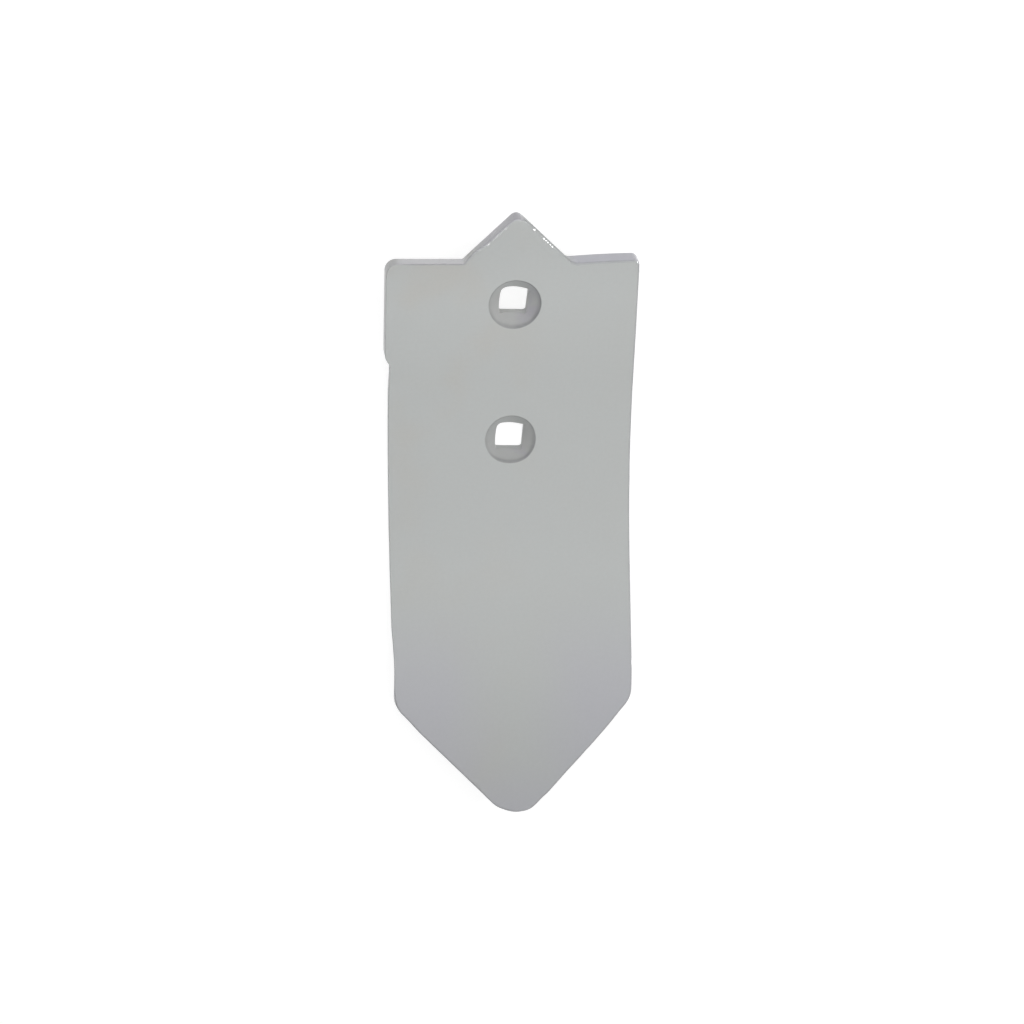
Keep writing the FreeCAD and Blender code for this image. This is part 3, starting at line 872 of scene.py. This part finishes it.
# semi-gloss grey paint over rolled and sheared steel
def paintedSteel():
    material = bpy.data.materials.new("paintedSteel")
    add, maths, span = freshNodes(material)
    place = add("ShaderNodeAttribute", {}, attribute_name="blankPlace").outputs["Vector"]

    def mask(name):
        return add("ShaderNodeAttribute", {}, attribute_name=name).outputs["Fac"]

    def colour(name):
        return (*paint[name], 1.0)

    def clouds(name):
        size, detail, roughness, offset = paintNoise[name]
        shift = {0: place, 1: (offset, offset, offset)}
        moved = add("ShaderNodeVectorMath", shift, operation="ADD").outputs[0]
        given = {"Vector": moved, "Scale": 1000 / size, "Detail": detail, "Roughness": roughness}
        return add("ShaderNodeTexNoise", given).outputs["Fac"]

    def spread(name, first=0.0, last=1.0, smooth=True):
        low, high = noiseEnds[name]
        return span(clouds(name), low, high, first, last, smooth)

    def over(value, name, first=0.0, last=1.0):
        low, high = paintPlaces[name]
        return span(value, low, high, first, last)

    def times(first, second):
        return maths("MULTIPLY", first, second)

    def scaled(vector, factor):
        given = {0: vector, "Scale": factor}
        return add("ShaderNodeVectorMath", given, operation="SCALE").outputs[0]

    def blend(share, first, second):
        given = {"Factor": share, 6: first, 7: second}
        return add("ShaderNodeMix", given, data_type="RGBA").outputs[2]

    split = add("ShaderNodeSeparateXYZ", {0: place})
    across, along = split.outputs["X"], split.outputs["Y"]
    outward = maths("ABSOLUTE", across)
    sheared, seat, rim, flats = mask("sheared"), mask("seat"), mask("rim"), mask("hammered")

    # faint warm patches in the paint, a few centimetres wide, on the left and in the middle
    leftSide = over(across, "leftSide", paint["warmAtRight"], 1.0)
    upperHalf = over(along, "upperHalf", paint["warmBelow"], 1.0)
    warm = times(times(spread("warm"), leftSide), upperHalf)
    result = blend(warm, colour("colour"), colour("warm"))

    # the paint turns cooler on the heels and along the flanks of the tip; painted shade darkens it
    # towards the tip, and it is a little darker at the top
    wavering = maths("ADD", outward, times(clouds("cool"), paint["coolUnevenness"]))
    cool = times(over(along, "heels"), over(wavering, "flanks"))
    cool = maths("MAXIMUM", cool, over(along, "tip"))
    result = blend(times(cool, paint["coolShare"]), result, colour("cool"))
    topShare = over(across, "topSides", paint["towardsTopLeft"], paint["towardsTop"])
    tipEnd = over(along, "tipEnd", 1.0, paint["shadeTowardsTip"])
    result = scaled(result, times(tipEnd, over(along, "topEnd", 1.0, topShare)))

    # the sheared sides carry a purplish tint with painted light and shade: paler on the end faces,
    # darker on the peak's flanks, with a painted highlight along the peak's outer rim; painted
    # shade darkens the rounded edges
    endLitTint = blend(over(across, "endSides"), colour("leftEndLitTint"), colour("rightEndLitTint"))
    peakShadeTint = blend(over(along, "peakFoot"), colour("peakFootShadeTint"), colour("peakShadeTint"))
    peakShadeTint = blend(over(sheared, "peakRim"), colour("peakRimHighlight"), peakShadeTint)
    topTint = blend(over(outward, "shoulders"), peakShadeTint, endLitTint)
    sides = blend(over(along, "topEdges"), colour("shearedLitTint"), topTint)
    result = blend(times(sheared, paint["sideShare"]), result, sides)
    result = blend(times(rim, spread("edgeShadeClouds", *paint["edgeShadeShares"])), result, colour("edgeShadeTint"))

    # painted shade in the bolt seats: they are darker, with darker purplish streaks on the right
    # and a dark line at the rim
    streaks = times(spread("streaks"), over(across, "seatRight"))
    seats = blend(streaks, colour("seatShadeTint"), colour("seatShadeStreak"))
    result = blend(times(seat, paint["seatShare"]), result, seats)
    line = times(times(rim, seat), spread("line", *paint["lineShares"]))
    result = blend(line, result, colour("seatShadeLine"))
    result = scaled(result, spread("speckle", *paint["speckleShares"], smooth=False))

    least = paint["roughness"] - paint["roughnessSpread"]
    most = paint["roughness"] + paint["roughnessSpread"]
    uneven = clouds("uneven")
    rough = span(uneven, *noiseEnds["uneven"], least, most, smooth=False)
    rough = span(flats, 0.0, 1.0, rough, paint["hammeredRoughness"])
    peakCoat = over(outward, "shoulders", over(along, "peakFoot", *paint["peakCoats"]), 1.0)
    thick = times(times(sheared, over(sheared, "coatEdge")), over(along, "topEdges", 1.0, peakCoat))
    roll = add("ShaderNodeBump", {
        "Height": uneven,
        "Distance": paint["rollDepth"],
        "Strength": paint["rollStrength"],
    })
    grain = add("ShaderNodeBump", {
        "Height": clouds("grain"),
        "Distance": paint["grainDepth"],
        "Strength": paint["grainStrength"],
        "Normal": roll.outputs[0],
    })
    shader = add("ShaderNodeBsdfPrincipled", {
        "Base Color": result,
        "Roughness": rough,
        "Specular IOR Level": paint["specular"],
        "Coat Weight": maths("MAXIMUM", times(thick, paint["edgeCoat"]), flats),
        "Coat Roughness": paint["coatRoughness"],
        "Normal": grain.outputs[0],
    })
    add("ShaderNodeOutputMaterial", {"Surface": shader.outputs[0]})
    print("paint mixed:", len(paintNoise), "kinds of noise")
    return material


studio = {
    "white": (1.0, 1.0, 1.0, 1.0),
    "ambient": 0.17,  # strength of the world's light on the object
    "floorColour": (0.8, 0.8, 0.8, 1.0),
    "floorGlow": 0.86,  # what the camera sees of the floor besides its shaded part
    "floorShade": (0.3, 0.3, 0.3, 1.0),
    "floorHalf": 3.0,
    "floorGap": 0.0002,  # below the share
    "lampTarget": (0.0, -0.06, 0.0),  # from the upper bolt hole, in metres
    # towards the lamp, distance and size in metres, power in watts
    "lamps": {
        "key": ((0.75, 0.124, 0.65), 0.9, 0.09, 1.65),
        "side": ((-0.55, 0.19, 0.81), 0.9, 0.09, 0.4),
        "low": ((0.0, -0.35, 0.93), 0.9, 0.5, 0.8),
        "nearTop": ((0.0, 0.37, 0.93), 0.485, 0.45, 0.5),
        "nearHigh": ((0.0, 0.62, 0.78), 0.40, 0.40, 0.72),
    },
}


# 1 for the rays that show a surface to the eye, directly or in a reflection
def seenRays(add, maths):
    paths = add("ShaderNodeLightPath", {}).outputs
    seen = maths("MAXIMUM", paths["Is Camera Ray"], paths["Is Glossy Ray"])
    return maths("MAXIMUM", seen, paths["Is Transmission Ray"])


def buildWorld():
    world = bpy.data.worlds.new("paleStudio")
    scene.world = world
    add, maths, span = freshNodes(world)
    strength = span(seenRays(add, maths), 0.0, 1.0, studio["ambient"], 1.0, smooth=False)
    sky = add("ShaderNodeBackground", {"Color": studio["white"], "Strength": strength})
    add("ShaderNodeOutputWorld", {"Surface": sky.outputs[0]})


def buildFloor():
    half = studio["floorHalf"]
    corners = [(-half, -half, 0), (half, -half, 0), (half, half, 0), (-half, half, 0)]
    mesh = bpy.data.meshes.new("floor")
    mesh.from_pydata(corners, [], [(0, 1, 2, 3)])
    floor = bpy.data.objects.new("floor", mesh)
    floor.location.z = cadBox[0][2] - studio["floorGap"]
    scene.collection.objects.link(floor)
    material = bpy.data.materials.new("paleFloor")
    add, maths, _ = freshNodes(material)
    plain = add("ShaderNodeBsdfDiffuse", {"Color": studio["floorColour"]})
    shade = add("ShaderNodeBsdfDiffuse", {"Color": studio["floorShade"]})
    glow = add("ShaderNodeEmission", {"Color": studio["white"], "Strength": studio["floorGlow"]})
    shown = add("ShaderNodeAddShader", {0: shade.outputs[0], 1: glow.outputs[0]})
    given = {0: seenRays(add, maths), 1: plain.outputs[0], 2: shown.outputs[0]}
    both = add("ShaderNodeMixShader", given)
    add("ShaderNodeOutputMaterial", {"Surface": both.outputs[0]})
    mesh.materials.append(material)


def buildLamps():
    lay = plateFrame()
    target = lay @ Vector(studio["lampTarget"])
    for name, (towards, distance, size, power) in studio["lamps"].items():
        light = bpy.data.lights.new(name, "AREA")
        light.energy = power
        light.size = size
        lamp = bpy.data.objects.new(name, light)
        scene.collection.objects.link(lamp)
        direction = lay.to_3x3() @ Vector(towards).normalized()
        lamp.location = target + direction * distance
        lamp.rotation_euler = (-direction).to_track_quat("-Z", "Y").to_euler()
    print("studio set:", len(studio["lamps"]), "lamps")


scene.view_settings.view_transform = "Standard"
buildCamera()
shareBody = buildShare()
shareBody.data.materials.append(paintedSteel())
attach(shareBody, "root")
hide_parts("share")
buildWorld()
buildFloor()
buildLamps()
